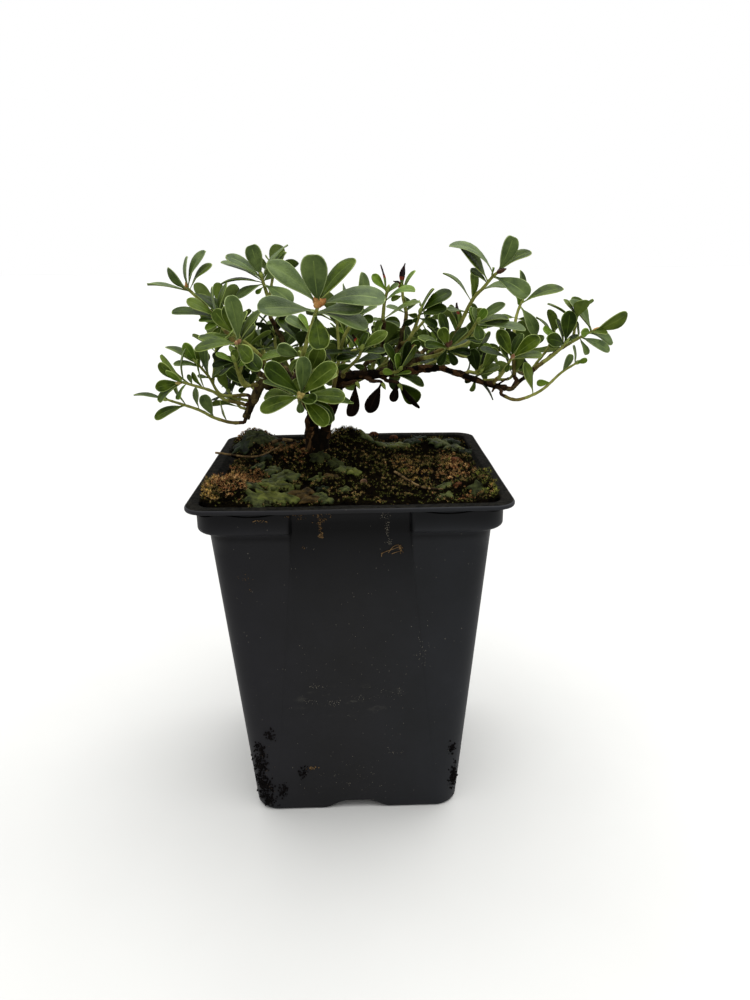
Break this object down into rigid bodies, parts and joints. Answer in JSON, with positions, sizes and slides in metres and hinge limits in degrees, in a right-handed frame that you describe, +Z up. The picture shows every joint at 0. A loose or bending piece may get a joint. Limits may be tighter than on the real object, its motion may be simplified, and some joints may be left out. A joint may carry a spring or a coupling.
{
  "type": "potted bearberry shrub",
  "caption": "Low evergreen shrub with spreading crooked boughs and small leathery paddle-shaped leaves, in a tall square black nursery pot with mossy soil.",
  "frame": {"origin": "middle of the pot's flat underside, on the surface the pot stands on", "axes": "+Z up; the pot's front side faces -Y; +X to the right seen from the front"},
  "size_m": [0.1931, 0.1448, 0.2203],
  "materials": {
    "black_plastic": "semi-matt moulded black polypropylene with dust and soil specks",
    "mossy_soil": "dark peat under moss and liverwort",
    "bark": "brown-black bark peeling in thin plates",
    "foliage": "leathery satin evergreen leaves with paler rims and midribs"
  },
  "bodies": {
    "root": {"back_bough": "bark", "back_far_right_shoot": "foliage", "back_left_bough": "bark", "back_left_low_shoot": "foliage", "back_left_shoot": "foliage", "back_low_shoot": "foliage", "back_middle_left_shoot": "foliage", "back_right_bough": "bark", "back_right_low_shoot": "foliage", "back_right_shoot": "foliage", "back_shoot": "foliage", "back_top_shoot": "foliage", "bough_shoot": "foliage", "centre_back_bough": "bark", "centre_bough": "bark", "centre_left_shoot": "foliage", "centre_low_shoot": "foliage", "centre_right_shoot": "foliage", "centre_tip_shoot": "foliage", "centre_top_shoot": "foliage", "far_right_bough": "bark", "far_right_inner_shoot": "foliage", "far_right_shoot": "foliage", "front_bough": "bark", "front_left_bough": "bark", "front_low_shoot": "foliage", "front_top_shoot": "foliage", "hanging_left_shoot": "foliage", "hanging_right_shoot": "foliage", "hanging_shoot": "foliage", "high_left_shoot": "foliage", "high_right_bough": "bark", "inner_left_shoot": "foliage", "left_bough": "bark", "left_front_shoot": "foliage", "left_high_bough": "bark", "left_low_bough": "bark", "left_stem": "bark", "low_left_bottom_shoot": "foliage", "low_left_middle_shoot": "foliage", "low_left_upper_shoot": "foliage", "low_right_shoot": "foliage", "mid_left_shoot": "foliage", "pot": "black_plastic", "right_arm": "bark", "right_base_shoot": "foliage", "right_bough": "bark", "right_inner_shoot": "foliage", "right_low_shoot": "foliage", "right_mid_shoot": "foliage", "right_stem": "bark", "right_top_shoot": "foliage", "right_up_shoot": "foliage", "soil": "mossy_soil", "stub_left_shoot": "foliage", "top_left_bough": "bark", "top_left_shoot": "foliage", "trunk": "bark"}
  },
  "joints": []
}
